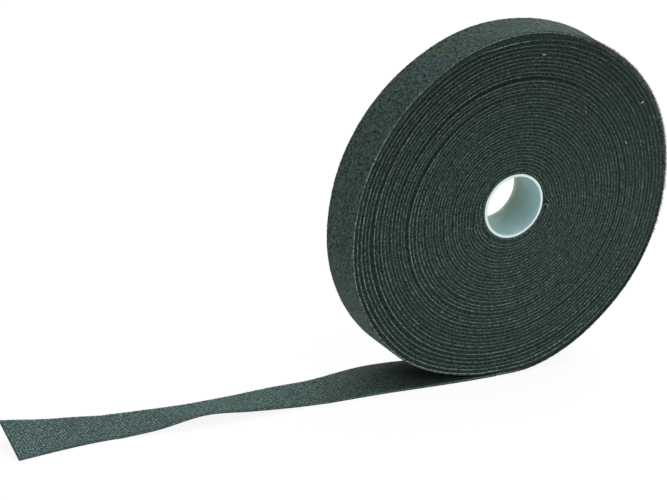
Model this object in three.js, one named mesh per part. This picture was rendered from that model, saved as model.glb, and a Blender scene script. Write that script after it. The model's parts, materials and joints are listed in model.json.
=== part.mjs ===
// A roll of back-to-back hook and loop tape on a plastic core.
// The roll stands on edge and its free end runs out over the floor.
// Millimetres, +Z up. The roll's axis is parallel to Y and the free end runs to -X.
// The origin lies on the floor under the axis, half way across the tape.
import * as THREE from "three";

// Tape: a loop fabric and a hook film laminated back to back, wound with the hooks inside.
const tapeWidth = 20;
const loopThickness = 0.6;
const hookThickness = 0.45;
const turnGap = 0.45; // the loose pile and hook tips between one turn and the next

// Roll: the outer turns are wound one by one, the tight inner ones are packed solid.
const rollRadius = 76; // from the axis to the flats of the outermost turn
const woundTurns = 20;
const stepsPerTurn = 24;

// Core: a thin plastic tube, flush with the edges of the tape.
const coreBore = 25.4;
const coreWall = 1.2;
const coreChamfer = 0.3;
const coreSides = 48;

// The tape's first end, folded back on itself against the core.
const foldBend = THREE.MathUtils.degToRad(-10); // where the hairpin bends, up from +X
const foldSpan = THREE.MathUtils.degToRad(55); // how far the doubled ply runs round the core
const foldSteps = 12;

// Free end: stretches of tape that meet at creases, and how the tape lies at each crease.
const tailReach = 222; // from under the axis to the cut end
const tailTwist = [0, 7, 7.5, 1, -2.5, -9, -14.5, -4.5, 2, 11, 23.5]; // degrees, far edge up
const tailDrift = [0, 0.4, 0.7, 1.7, 1.5, 0.9, 0.4, 1.7, 3.5, 1.8, 0]; // sideways, towards +Y
const slicesPerStretch = 4;

const seatGap = 0.3; // between pieces that seat on each other
const creaseGap = 0.3; // between one stretch of the free end and the next

const tapeThickness = loopThickness + hookThickness;
const turnPitch = tapeThickness + turnGap;
const coreRadius = coreBore / 2 + coreWall;
const stepAngle = (2 * Math.PI) / stepsPerTurn;
const stretches = tailTwist.length - 1;
const stretchLength = tailReach / (stretches + 0.5);
const firstCrease = -stretchLength / 2;

// Radius of the outer face of the winding at a step, counted inwards from the outer end.
const outerCorner = rollRadius / Math.cos(stepAngle / 2);
const turnRadius = (step) => outerCorner - (turnPitch * step) / stepsPerTurn;

// The winding is turned so that its outermost facet lies flat on the floor.
const footRatio = turnRadius(1) / turnRadius(0);
const startAngle = Math.atan2(
  footRatio * Math.cos(stepAngle) - 1,
  footRatio * Math.sin(stepAngle),
);
const axisHeight = turnRadius(0) * Math.cos(startAngle);

// A point of the roll's side view, at an angle from straight down towards +X.
function polar(radius, angle) {
  return new THREE.Vector2(radius * Math.sin(angle), axisHeight - radius * Math.cos(angle));
}

// Points along an arc of the side view.
function arc(radius, from, to, steps) {
  const points = [];
  for (let step = 0; step <= steps; step++) {
    points.push(polar(radius, THREE.MathUtils.lerp(from, to, step / steps)));
  }
  return points;
}

// A corner of the winding at a step, some way in from its outer face.
function corner(step, depth) {
  return polar(turnRadius(step) - depth, startAngle + (step % stepsPerTurn) * stepAngle);
}

// The front and back points, across the tape, of a point of the side view.
function acrossTape(point) {
  const half = tapeWidth / 2;
  return [new THREE.Vector3(point.x, -half, point.y), new THREE.Vector3(point.x, half, point.y)];
}

// One closed skin over a run of sections with the same number of corners.
// Facing sides are split along the same diagonal, so twisted layers meet exactly.
function loft(sections) {
  const corners = sections[0].length;
  const last = (sections.length - 1) * corners;
  const index = [];
  for (let start = 0; start < last; start += corners) {
    for (let c = 0; c < corners; c++) {
      const a = start + c;
      const b = start + ((c + 1) % corners);
      const [from, to] = c < corners / 2 ? [a, b] : [b, a];
      index.push(a, b, to + corners, from, b + corners, a + corners);
    }
  }
  for (let c = 1; c + 1 < corners; c++) {
    index.push(0, c + 1, c);
    index.push(last, last + c, last + c + 1);
  }
  const geometry = new THREE.BufferGeometry().setFromPoints(sections.flat());
  geometry.setIndex(index);
  geometry.computeVertexNormals();
  return geometry;
}

// A flat outline of the side view, extruded across the tape.
function extrudeAcross(shape) {
  const geometry = new THREE.ExtrudeGeometry(shape, {
    depth: tapeWidth,
    bevelEnabled: false,
    curveSegments: 1,
  });
  return geometry.rotateX(Math.PI / 2).translate(0, tapeWidth / 2, 0);
}

// A layer's section, square across the tape, from the outer and inner points of the side view.
function squareSection(outer, inner) {
  const [outerFront, outerBack] = acrossTape(outer);
  const [innerFront, innerBack] = acrossTape(inner);
  return [outerFront, outerBack, innerBack, innerFront];
}

// A layer of the winding: one strip, between two depths below the tape's outer face.
function windingLayer(top, bottom) {
  const sections = [];
  for (let step = 1; step <= woundTurns * stepsPerTurn; step++) {
    sections.push(squareSection(corner(step, top), corner(step, bottom)));
  }
  return loft(sections);
}

// A layer of the foot: the flat stretch that the roll stands on, from the first crease to the winding.
function footLayer(top, bottom) {
  const creaseEnd = firstCrease + creaseGap;
  const gap = new THREE.Vector2(seatGap, 0);
  return loft([
    squareSection(new THREE.Vector2(creaseEnd, top), new THREE.Vector2(creaseEnd, bottom)),
    squareSection(corner(1, top).sub(gap), corner(1, bottom).sub(gap)),
  ]);
}

// Least distance from the inner face of each turn to the outer face of the turn below it.
function leastGap(top, bottom) {
  const share = [0, 0.25, 0.5, 0.75];
  const facePoints = (step, depth) =>
    share.map((f) => corner(step, depth).lerp(corner(step + 1, depth), f));
  let least = Infinity;
  for (let step = 1; step < (woundTurns - 1) * stepsPerTurn; step++) {
    for (const above of facePoints(step, bottom)) {
      for (let near = -1; near <= 1; near++) {
        for (const below of facePoints(step + stepsPerTurn + near, top)) {
          least = Math.min(least, above.distanceTo(below));
        }
      }
    }
  }
  return least;
}

// The tight inner turns: a ring whose outline goes on with the spiral of the winding.
function packedTurns() {
  const first = woundTurns * stepsPerTurn;
  const facet = corner(first, 0).distanceTo(corner(first + 1, 0));
  const wall = seatGap / facet;
  const outline = [corner(first, 0).lerp(corner(first + 1, 0), wall)];
  for (let step = 1; step <= stepsPerTurn; step++) {
    outline.push(corner(first + step, 0));
  }
  const below = first + stepsPerTurn;
  outline.push(corner(below, 0).lerp(corner(below + 1, 0), wall));
  const shape = new THREE.Shape(outline);
  shape.holes.push(new THREE.Path(coreHole()));
  return extrudeAcross(shape);
}

// Angle of the folded start, from its bend (0) to its cut end (1), from straight down to +X.
function foldAngle(share) {
  return Math.PI / 2 + foldBend - share * foldSpan;
}

// The hole for the core, with a pocket for the folded start.
function coreHole() {
  const fullTurn = 2 * Math.PI;
  const seat = coreRadius + seatGap;
  const seatCorner = seat / Math.cos(Math.PI / coreSides);
  const pocket = seat + 2 * tapeThickness + turnGap + seatGap;
  const bend = (pocket - seat) / 2;
  const pocketEnd = foldAngle(0) + Math.atan(bend / seat) + seatGap / seat;
  const pocketStart = foldAngle(1) - seatGap / seat;
  const seatSpan = fullTurn - (pocketEnd - pocketStart);
  const seatSteps = Math.ceil((coreSides * seatSpan) / fullTurn);
  return [
    ...arc(pocket, pocketStart, pocketEnd, foldSteps),
    ...arc(seatCorner, pocketEnd, pocketEnd + seatSpan, seatSteps),
  ];
}

// The first end of the tape: a hairpin of two plies against the core.
function foldedStart() {
  const inside = coreRadius + seatGap;
  const outside = inside + 2 * tapeThickness + turnGap;
  const middle = (inside + outside) / 2;
  const bendAngle = foldAngle(0);
  const endAngle = foldAngle(1);
  const turn = (radius, from, to) => {
    const points = [];
    for (let step = 1; step < foldSteps; step++) {
      const swing = THREE.MathUtils.lerp(from, to, step / foldSteps);
      const along = (radius * Math.cos(swing)) / middle;
      points.push(polar(middle + radius * Math.sin(swing), bendAngle + along));
    }
    return points;
  };
  const quarter = Math.PI / 2;
  const outline = [
    ...arc(outside, endAngle, bendAngle, foldSteps),
    ...turn(outside - middle, quarter, -quarter),
    ...arc(inside, bendAngle, endAngle, foldSteps),
    ...arc(inside + tapeThickness, endAngle, bendAngle, foldSteps),
    ...turn(turnGap / 2, -quarter, quarter),
    ...arc(outside - tapeThickness, bendAngle, endAngle, foldSteps),
  ];
  return extrudeAcross(new THREE.Shape(outline));
}

// The core tube, turned about the roll's axis.
function coreTube() {
  const half = tapeWidth / 2;
  const bore = coreBore / 2;
  const profile = [
    [bore, half - coreChamfer],
    [bore, coreChamfer - half],
    [bore + coreChamfer, -half],
    [coreRadius - coreChamfer, -half],
    [coreRadius, coreChamfer - half],
    [coreRadius, half - coreChamfer],
    [coreRadius - coreChamfer, half],
    [bore + coreChamfer, half],
    [bore, half - coreChamfer],
  ].map(([radius, y]) => new THREE.Vector2(radius, y));
  return new THREE.LatheGeometry(profile, coreSides).translate(0, 0, axisHeight);
}

// A smooth curve through values at the creases, read at a place counted in stretches from the first.
function alongTail(values) {
  const curve = new THREE.SplineCurve(values.map((value, i) => new THREE.Vector2(i, value)));
  return (place) => curve.getPoint(place / stretches).y;
}
const twistAt = alongTail(tailTwist);
const driftAt = alongTail(tailDrift);

// A layer's section of the free end, whose lower edge lies on the floor.
function tailSection(place, x, top, bottom) {
  const twist = THREE.MathUtils.degToRad(twistAt(place));
  const across = new THREE.Vector3(0, Math.cos(twist), Math.sin(twist));
  const up = new THREE.Vector3(0, -Math.sin(twist), Math.cos(twist));
  const lift = (tapeWidth / 2) * Math.abs(Math.sin(twist));
  const middle = new THREE.Vector3(x, driftAt(place), lift);
  const point = (side, height) =>
    middle.clone().addScaledVector(across, (side * tapeWidth) / 2).addScaledVector(up, height);
  return [point(-1, bottom), point(-1, top), point(1, top), point(1, bottom)];
}

// A layer of one stretch of the free end, between two heights in the tape.
function tailStretch(number, bottom, top) {
  const start = firstCrease - number * stretchLength - creaseGap / 2;
  const end = start - stretchLength + creaseGap;
  const sections = [];
  for (let slice = 0; slice <= slicesPerStretch; slice++) {
    const share = slice / slicesPerStretch;
    const x = THREE.MathUtils.lerp(start, end, share);
    sections.push(tailSection(number + share, x, top, bottom));
  }
  return loft(sections);
}

const loopFinish = { color: 0x2b3130, roughness: 0.95, metalness: 0 };
const hookFinish = { color: 0x3c4444, roughness: 0.6, metalness: 0 };
const packedFinish = { color: 0x262b2b, roughness: 0.9, metalness: 0 };
const coreFinish = { color: 0xeef0ee, roughness: 0.4, metalness: 0 };

const roll = new THREE.Group();
function addPiece(name, geometry, finish) {
  const piece = new THREE.Mesh(geometry, new THREE.MeshStandardMaterial(finish));
  piece.name = name;
  roll.add(piece);
}

addPiece("core_tube", coreTube(), coreFinish);
addPiece("folded_start", foldedStart(), loopFinish);
addPiece("packed_turns", packedTurns(), packedFinish);
addPiece("wound_loop_layer", windingLayer(0, loopThickness), loopFinish);
addPiece("wound_hook_layer", windingLayer(loopThickness, tapeThickness), hookFinish);
addPiece("foot_loop", footLayer(0, loopThickness), loopFinish);
addPiece("foot_hook", footLayer(loopThickness, tapeThickness), hookFinish);
for (let number = 0; number < stretches; number++) {
  const label = String(number + 1).padStart(2, "0");
  addPiece(`tail_loop_${label}`, tailStretch(number, 0, loopThickness), loopFinish);
  addPiece(`tail_hook_${label}`, tailStretch(number, loopThickness, tapeThickness), hookFinish);
}

const gapToItself = leastGap(0, tapeThickness).toFixed(2);
console.log(`winding: ${woundTurns} turns, least gap to itself ${gapToItself} mm`);

export default roll;
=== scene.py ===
# %% [markdown]
# # A roll of hook and loop tape
# The object is one long strip of black tape, fuzzy loops on one side and small hooks on the other,
# wound on a thin white tube. It stands on edge, and its free end runs out over the floor.
# The packed model gives the true sizes and the bodies that move. It is loaded first and stays as it
# is: every piece below is fitted to it, in metres and in its frame.

# %% Load the frame
import json
import math

import bpy
import numpy as np
from mathutils import Matrix, Vector


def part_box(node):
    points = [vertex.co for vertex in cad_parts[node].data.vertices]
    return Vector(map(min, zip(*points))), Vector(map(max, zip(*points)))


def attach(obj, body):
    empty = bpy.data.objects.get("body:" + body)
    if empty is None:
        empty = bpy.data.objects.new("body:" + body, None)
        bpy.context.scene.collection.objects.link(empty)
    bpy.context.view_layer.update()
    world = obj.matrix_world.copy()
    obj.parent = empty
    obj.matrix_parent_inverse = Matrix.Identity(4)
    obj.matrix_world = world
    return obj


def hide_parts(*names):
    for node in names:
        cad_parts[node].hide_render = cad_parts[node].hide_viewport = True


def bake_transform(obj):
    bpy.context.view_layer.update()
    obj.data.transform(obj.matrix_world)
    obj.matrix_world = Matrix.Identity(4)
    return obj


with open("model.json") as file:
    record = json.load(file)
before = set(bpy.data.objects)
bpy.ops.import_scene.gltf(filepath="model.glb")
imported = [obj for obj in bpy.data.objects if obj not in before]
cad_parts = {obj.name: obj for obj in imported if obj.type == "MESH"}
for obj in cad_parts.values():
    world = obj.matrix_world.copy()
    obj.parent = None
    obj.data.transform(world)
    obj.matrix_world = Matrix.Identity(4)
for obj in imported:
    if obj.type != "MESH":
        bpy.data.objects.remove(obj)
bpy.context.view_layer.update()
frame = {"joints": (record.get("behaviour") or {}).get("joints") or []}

# %% [markdown]
# ## Sizes
# The solids of the frame already know how big the roll is, so the sizes are read from them and not
# typed again. What the solids leave out, such as the thin layers of the tape, is written further
# down, where it is first needed.

# %% Sizes from the frame
MM = 0.001
core_low, core_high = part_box("core_tube")
AXIS_HEIGHT = (core_low[2] + core_high[2]) / 2
CORE_RADIUS = (core_high[2] - core_low[2]) / 2
TAPE_WIDTH = core_high[1] - core_low[1]
TAIL_REACH = -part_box("tail_loop_10")[0][0]
CREASES = [joint["pos_m"][0] for joint in frame["joints"]]
STRETCH = CREASES[0] - CREASES[1]
print(f"axis {AXIS_HEIGHT / MM:.1f} mm up, tape {TAPE_WIDTH / MM:.1f} mm wide")
print(f"free end {TAIL_REACH / MM:.1f} mm long, with {len(CREASES)} creases")

# %% [markdown]
# ## Camera
# The photograph was taken with a long lens from a little above, and tilted a few degrees. The camera
# could be moved by eye until the picture fits. Here its place is worked out instead: the direction of
# view, the tilt, and where the roll's centre stands in front of the lens.

# %% Camera
VIEW_AZIMUTH = math.radians(-33.25)
VIEW_ELEVATION = math.radians(23.31)
VIEW_TILT = math.radians(5.25)
CENTRE_FROM_LENS = Vector((0.06784, 0.02152, -2.35478))  # right, up and back, in metres
SENSOR_WIDTH = 36.0
FOCAL_LENGTH = 313.2
FAR_CLIP = 100.0  # metres, well past the edge of the floor

towards_lens = Vector((
    math.sin(VIEW_AZIMUTH) * math.cos(VIEW_ELEVATION),
    -math.cos(VIEW_AZIMUTH) * math.cos(VIEW_ELEVATION),
    math.sin(VIEW_ELEVATION),
))
level_right = Vector((0, 0, 1)).cross(towards_lens).normalized()
level_up = towards_lens.cross(level_right)
right = math.cos(VIEW_TILT) * level_right + math.sin(VIEW_TILT) * level_up
up = math.cos(VIEW_TILT) * level_up - math.sin(VIEW_TILT) * level_right
turn = Matrix((right, up, towards_lens)).transposed()
place = Vector((0, 0, AXIS_HEIGHT)) - turn @ CENTRE_FROM_LENS

camera_data = bpy.data.cameras.new("camera")
camera_data.sensor_width = SENSOR_WIDTH
camera_data.lens = FOCAL_LENGTH
camera_data.clip_end = FAR_CLIP
camera = bpy.data.objects.new("camera", camera_data)
camera.matrix_world = Matrix.Translation(place) @ turn.to_4x4()
bpy.context.scene.collection.objects.link(camera)
bpy.context.scene.camera = camera
bpy.context.scene.view_settings.view_transform = "Standard"
print("camera at", [round(value, 3) for value in place])

# %% [markdown]
# ## Shader maths
# A finish is a small program of nodes. Wiring nodes by hand in code is long and hard to read, so a
# socket is wrapped in a class that understands + - and *. An expression such as 1 - mask then adds
# its Math nodes by itself.

# %% A value that changes over a surface
class Value:
    """A number that changes over a surface; arithmetic on it adds Math nodes."""

    def __init__(self, finish, socket):
        self.finish = finish
        self.socket = socket

    def math(self, operation, first, second):
        return self.finish.node("Math", {"operation": operation}, {0: first, 1: second})

    def __add__(self, other):
        return self.math("ADD", self, other)

    def __sub__(self, other):
        return self.math("SUBTRACT", self, other)

    def __mul__(self, other):
        return self.math("MULTIPLY", self, other)

    def __rsub__(self, other):
        return self.math("SUBTRACT", other, self)

    __radd__ = __add__
    __rmul__ = __mul__


print("operators:", [name for name in vars(Value) if name.endswith(("add__", "sub__", "mul__"))])

# %% [markdown]
# A second class holds the nodes of one finish. One method makes any node from its type, its settings
# and its inputs, and short methods with plain names stand for the few nodes that every finish needs:
# a noise, a stretch between two limits, a mix of two colours, a bump.

# %% A finish and its nodes
class Finish:
    """The nodes of a material or a sky, all made by one method."""

    def __init__(self, owner):
        owner.use_nodes = True
        self.owner = owner
        self.tree = owner.node_tree
        self.tree.nodes.clear()

    def node(self, kind, settings=None, inputs=None, output=0):
        """Makes any node from its type, settings and inputs, and gives back one of its outputs."""
        made = self.tree.nodes.new("ShaderNode" + kind)
        for name, setting in (settings or {}).items():
            setattr(made, name, setting)
        for name, value in (inputs or {}).items():
            if isinstance(value, Value):
                self.tree.links.new(value.socket, made.inputs[name])
            else:
                made.inputs[name].default_value = value
        return Value(self, made.outputs[output]) if made.outputs else None

    def place(self):
        return self.node("TexCoord", output="Object")

    def coordinate(self, axis):
        """One coordinate of a point on the object, in metres."""
        return self.node("SeparateXYZ", None, {0: self.place()}, output=axis)

    def stored(self, name):
        """A number that the mesh keeps for each of its points."""
        return self.node("Attribute", {"attribute_name": name}, output="Fac")

    def noise(self, size, detail=2.0):
        """Smooth noise from 0 to 1 with blots of about this size in metres."""
        return self.node("TexNoise", None, {"Vector": self.place(), "Scale": 1.0 / size, "Detail": detail})

    def steps(self, value, low, high):
        """Stretches the part of a value between two limits to 0..1."""
        return self.node("MapRange", {"clamp": True}, {0: value, 1: low, 2: high, 3: 0.0, 4: 1.0})

    def mix(self, share, first, second):
        """A colour between two others."""
        return self.node("Mix", {"data_type": "RGBA"}, {0: share, 6: first, 7: second}, output=2)

    def bump(self, height, depth, strength=1.0):
        return self.node("Bump", None, {"Height": height, "Distance": depth, "Strength": strength})

    def surface(self, **sockets):
        """The shader itself; underscores stand for the spaces of a socket's name."""
        inputs = {name.replace("_", " "): value for name, value in sockets.items()}
        shader = self.node("BsdfPrincipled", None, inputs)
        self.node("OutputMaterial", None, {"Surface": shader})
        return self.owner

    def shown(self):
        """1 for rays that come from the camera or a mirror image, 0 for those that carry light."""
        kinds = ("Is Camera Ray", "Is Glossy Ray", "Is Transmission Ray")
        camera_ray, glossy_ray, transmission_ray = (self.node("LightPath", output=kind) for kind in kinds)
        return camera_ray + glossy_ray + transmission_ray


def new_finish(name):
    return Finish(bpy.data.materials.new(name))


def colour(red, green, blue):
    return (red, green, blue, 1.0)


print("methods:", [name for name in vars(Finish) if not name.startswith("_")])

# %% [markdown]
# ## Floor and light
# The photograph has a white ground and soft light from all round. The floor is a large white plane,
# a hair below the tape so that the two never share a face. The camera sees most of it as bare white,
# so that the shadow on it stays but is faint.

# %% Floor
FLOOR_HALF = 8.0
FLOOR_DROP = 0.15 * MM
FLOOR_WHITE = 0.95
FLOOR_GLOW = 1.05
SHADOW_FADE = 0.85


def white_ground():
    finish = new_finish("white_ground")
    matt = finish.node("BsdfDiffuse", None, {"Color": colour(FLOOR_WHITE, FLOOR_WHITE, FLOOR_WHITE)})
    bare = finish.node("Emission", None, {"Color": colour(1, 1, 1), "Strength": FLOOR_GLOW})
    ground = finish.node("MixShader", None, {0: SHADOW_FADE * finish.shown(), 1: matt, 2: bare})
    finish.node("OutputMaterial", None, {"Surface": ground})
    return finish.owner


bpy.ops.object.select_all(action="DESELECT")
bpy.ops.mesh.primitive_plane_add(size=2 * FLOOR_HALF, location=(0, 0, -FLOOR_DROP))
floor = bpy.context.object
floor.name = "floor"
floor.data.materials.append(white_ground())
print("floor", 2 * FLOOR_HALF, "m across")

# %% [markdown]
# Nothing in the photograph is lit harder than the rest, so the light comes from a white sky, one large
# lamp overhead and one in front. Small lamps would give hard shadows between the turns. The sky is
# white to the camera and weaker as a light, so that colours come out about as they are written.

# %% Sky and lamps
SKY_LIGHT = 0.5
LAMP_AIM = Vector((-0.05, 0, AXIS_HEIGHT))

sky = Finish(bpy.data.worlds.new("white_sky"))
strength = SKY_LIGHT + (1 - SKY_LIGHT) * sky.shown()
background = sky.node("Background", None, {"Color": colour(1, 1, 1), "Strength": strength})
sky.node("OutputWorld", None, {"Surface": background})
bpy.context.scene.world = sky.owner


def soft_lamp(name, place, power, size):
    """A square lamp that faces the roll."""
    data = bpy.data.lights.new(name, "AREA")
    data.energy = power
    data.size = size
    lamp = bpy.data.objects.new(name, data)
    facing = (LAMP_AIM - Vector(place)).to_track_quat("-Z", "Y")
    lamp.matrix_world = Matrix.Translation(place) @ facing.to_matrix().to_4x4()
    bpy.context.scene.collection.objects.link(lamp)


soft_lamp("lamp_above", place=(0.7, 0.2, 1.4), power=13.0, size=1.2)
soft_lamp("lamp_front", place=(0.2, -1.4, 1.1), power=7.0, size=1.0)
print("lit by the sky and", len(bpy.data.lights), "lamps")

# %% [markdown]
# ## Finishes
# No black here is pure: dyed nylon is a very dark green-grey. The blacks differ in what the light does
# to them. The brushed loop pile is soft and blotchy, the backing film shows as a fine speckled line
# on its cut edge, the tangle of hooks and loops between two turns is nearly black, and the hooks of
# the free end are a lighter grey-green. Patterns read the place of a point on the object, in metres.

# %% [markdown]
# The core is uncoloured plastic. Its cut rim is a bluish white, but the dark tape behind the thin wall
# shows through and makes the inside of the bore grey. Deep in the bore, far from the rims that the light
# comes in by, shade is painted into the colour as well, and near the far rim painted light. So the colour
# goes by the distance from the roll's axis and by the depth in the bore. Real translucency would do the
# grey too, but a thin wall needs many samples to come out clean.

# %% Core plastic
CORE_WALL = 1.2 * MM
CORE_BORE = CORE_RADIUS - CORE_WALL


def core_plastic():
    finish = new_finish("core_plastic")
    about_axis = {"Vector": finish.place(), "Location": (0, 0, -AXIS_HEIGHT), "Scale": (1, 0, 1)}
    offset = finish.node("Mapping", None, about_axis)
    radius = finish.node("VectorMath", {"operation": "LENGTH"}, {0: offset}, output="Value")
    rim = finish.steps(radius, CORE_BORE + 0.1 * MM, CORE_BORE + 0.5 * MM)
    cloud = finish.noise(6 * MM)
    depth = finish.coordinate("Y") + 6 * MM * cloud
    # painted shade, darker deeper in the bore, and painted light near its far rim
    shaded = finish.steps(depth, -0.4 * TAPE_WIDTH, 0.1 * TAPE_WIDTH)
    painted_shade = finish.steps(depth, 0.15 * TAPE_WIDTH, 0.45 * TAPE_WIDTH)
    far_rim_light = finish.steps(depth, 0.5 * TAPE_WIDTH, 0.68 * TAPE_WIDTH)
    wall = finish.mix(shaded, colour(0.46, 0.67, 0.71), colour(0.250, 0.425, 0.420))
    wall = finish.mix(painted_shade, wall, colour(0.175, 0.285, 0.215))
    wall = finish.mix(far_rim_light, wall, colour(0.45, 0.56, 0.48))
    white = finish.mix(cloud, colour(0.76, 0.92, 0.91), colour(0.82, 0.96, 0.95))
    grain = finish.noise(0.5 * MM, 3.0)
    return finish.surface(
        Base_Color=finish.mix(rim, wall, white),
        Roughness=0.3 + 0.2 * cloud,
        Normal=finish.bump(grain, 0.02 * MM),
    )


CORE_PLASTIC = core_plastic()
print("made", CORE_PLASTIC.name)

# %% [markdown]
# The loop side is a brushed felt of fine nylon loops. Seen from a step away it is a soft mottle of
# dark pits and paler tufts, with a faint bloom where it turns away from the eye. Two noises of different
# size make the mottle, and sheen makes the bloom. A hair system would look alike and cost far more.

# %% Loop pile
def loop_pile():
    finish = new_finish("loop_pile")
    blotch = finish.steps(finish.noise(8 * MM), 0.35, 0.65)
    felt = finish.noise(1.6 * MM, 3.0)
    fibre = finish.noise(0.8 * MM, 2.0)
    pit = finish.mix(blotch, colour(0.011, 0.021, 0.014), colour(0.010, 0.019, 0.019))
    tuft = finish.mix(blotch, colour(0.084, 0.131, 0.103), colour(0.086, 0.134, 0.135))
    return finish.surface(
        Base_Color=finish.mix(finish.steps(0.4 * felt + 0.6 * fibre, 0.38, 0.61), pit, tuft),
        Roughness=0.95,
        Specular_IOR_Level=0.05,
        Sheen_Weight=0.3,
        Sheen_Roughness=0.3,
        Sheen_Tint=colour(0.92, 1.0, 1.0),
        Normal=finish.bump(felt * 0.6 + fibre * 0.4, 0.35 * MM, 0.8),
    )


LOOP_PILE = loop_pile()
print("made", LOOP_PILE.name)

# %% [markdown]
# The backing film shows only its slit edge, as a fine pale line. Edges beside a wide gap and on the
# outermost turn are paler, the edge where one turn is caught carries a painted highlight, the lower left
# is painted lighter, and where the last turn is pushed back its edge is in painted shade. A shader knows
# none of this, so the winding stores it in its mesh, as two attributes: one for wear and painted light,
# one for painted shade. A small noise breaks up the wear along each line. The top of the side is painted
# dimmer, away from the bright floor.

# %% Backing film, seen on its cut edge
SIDE_DIM = 0.4  # how much darker the side is at the top of the roll
WEAR_BREAK = 0.62  # how much of the wear is missing where the line is broken


def side_dimmer(finish):
    """How much darker the side of the roll is, from its axis up."""
    return SIDE_DIM * finish.steps(finish.coordinate("Z"), AXIS_HEIGHT, 2 * AXIS_HEIGHT)


def backing_film():
    finish = new_finish("backing_film")
    whole = finish.steps(finish.noise(1.6 * MM), 0.35, 0.65)
    wear = finish.stored("wear") + (whole - WEAR_BREAK)
    speck = finish.steps(finish.noise(0.6 * MM, 3.0), 0.40, 0.60)
    patch = finish.noise(9 * MM)
    dark = finish.mix(patch, colour(0.036, 0.058, 0.046), colour(0.038, 0.057, 0.055))
    plain = finish.mix(patch, colour(0.106, 0.163, 0.136), colour(0.111, 0.161, 0.156))
    dull = finish.mix(wear, dark, colour(0.070, 0.108, 0.094))
    pale = finish.mix(wear, plain, colour(0.350, 0.470, 0.430))
    # painted highlight, where the stored value goes past 1
    painted_highlight = finish.mix(finish.steps(wear, 1.0, 2.0), pale, colour(0.60, 0.70, 0.66))
    speckled = finish.mix(speck, dull, painted_highlight)
    # painted shade: the pushed-back edge and the top of the side
    painted_shade = finish.stored("shade") + side_dimmer(finish)
    return finish.surface(
        Base_Color=finish.mix(painted_shade, speckled, colour(0.010, 0.018, 0.015)),
        Roughness=0.62,
        Specular_IOR_Level=0.2,
        Normal=finish.bump(speck, 0.06 * MM, 0.6),
    )


BACKING_FILM = backing_film()
print("made", BACKING_FILM.name)

# %% [markdown]
# Between one turn and the next, hooks are stuck in loops. From the side this tangle is a dark groove
# with a little mottle in it, and where a gap is wide its shade is painted in, nearly black. It uses the
# same attribute of painted shade.

# %% Hooks stuck in loops
def stuck_pile():
    finish = new_finish("stuck_pile")
    tangle = finish.steps(finish.noise(0.8 * MM, 3.0), 0.38, 0.62)
    patch = finish.steps(finish.noise(8 * MM), 0.35, 0.65)
    pale = finish.mix(patch, colour(0.050, 0.082, 0.062), colour(0.048, 0.079, 0.076))
    mottled = finish.mix(tangle, colour(0.010, 0.018, 0.014), pale)
    # painted shade of the wide gaps and of the top of the side
    painted_shade = finish.stored("shade") + side_dimmer(finish)
    return finish.surface(
        Base_Color=finish.mix(painted_shade, mottled, colour(0.006, 0.011, 0.009)),
        Roughness=0.9,
        Specular_IOR_Level=0.1,
        Normal=finish.bump(tangle, 0.2 * MM),
    )


STUCK_PILE = stuck_pile()
print("made", STUCK_PILE.name)

# %% [markdown]
# A hook is painted pale at its tip, as if lit, and dark at its foot, as painted shade between the hooks.
# How far up a point is doesn't follow from its place once the tape is twisted, so each hook's mesh carries
# that as an attribute of its own, which is stored before the tape is laid. Another says how far along the
# free end
# it is: near the roll the hooks and their ground are painted nearly black, as the shadow of the roll, and
# further out the hooks turn bluer.

# %% Hook film and the ground that it stands on
# painted shadow of the roll on the free end, near where it comes off
ROOT_SHADOW = (0.63, 0.84)  # where the hooks darken towards the roll, of the free end's length
ROOT_SHADOW_DARK = 0.85


def painted_roll_shadow(finish, unshaded):
    """A colour of the free end with the roll's shadow painted in, nearly black where the tape comes off
    the roll.
    """
    root_shadow = finish.steps(finish.stored("along"), *ROOT_SHADOW)
    return finish.mix(ROOT_SHADOW_DARK * root_shadow, unshaded, colour(0.006, 0.014, 0.010))


def hook_film():
    finish = new_finish("hook_film")
    patch = finish.steps(finish.noise(5 * MM) + 0.7 * (0.5 - finish.stored("along")), 0.3, 0.7)
    grain = finish.steps(finish.noise(1.0 * MM, 2.0), 0.38, 0.62)
    dull = finish.mix(patch, colour(0.026, 0.068, 0.056), colour(0.025, 0.066, 0.070))
    pale = finish.mix(patch, colour(0.290, 0.495, 0.420), colour(0.282, 0.488, 0.490))
    # painted light and shade: pale at the tip, dark at the foot
    hook = finish.mix(finish.stored("tip"), colour(0.018, 0.032, 0.029), finish.mix(grain, dull, pale))
    return finish.surface(
        Base_Color=painted_roll_shadow(finish, hook),
        Roughness=0.5 + 0.2 * grain,
        Specular_IOR_Level=0.35,
    )


def hook_ground():
    finish = new_finish("hook_ground")
    weave = finish.noise(0.5 * MM, 2.0)
    cloth = finish.mix(weave, colour(0.010, 0.026, 0.022), colour(0.032, 0.070, 0.064))
    return finish.surface(
        Base_Color=painted_roll_shadow(finish, cloth),
        Roughness=0.75,
        Normal=finish.bump(weave, 0.1 * MM),
    )


HOOK_FILM = hook_film()
HOOK_GROUND = hook_ground()
print("made", HOOK_FILM.name, "and", HOOK_GROUND.name)

# %% [markdown]
# Loose fibres take their colour from where they are: dark in the pile, paler at a cut edge, a warm pale
# grey in the fuzz of the rim, where the sheen of fibres against the light is painted in, and white in
# lint. One function makes all four, each from a dark and a pale colour.

# %% Loose fibres and lint
def loose_fibre(name, dark, pale):
    finish = new_finish(name)
    shade = finish.mix(finish.steps(finish.noise(1.2 * MM), 0.35, 0.65), dark, pale)
    return finish.surface(Base_Color=shade, Roughness=0.7, Specular_IOR_Level=0.3)


EDGE_FIBRE = loose_fibre("edge_fibre", colour(0.04, 0.066, 0.056), colour(0.30, 0.40, 0.37))
PILE_FIBRE = loose_fibre("pile_fibre", colour(0.024, 0.042, 0.036), colour(0.105, 0.152, 0.138))
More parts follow.
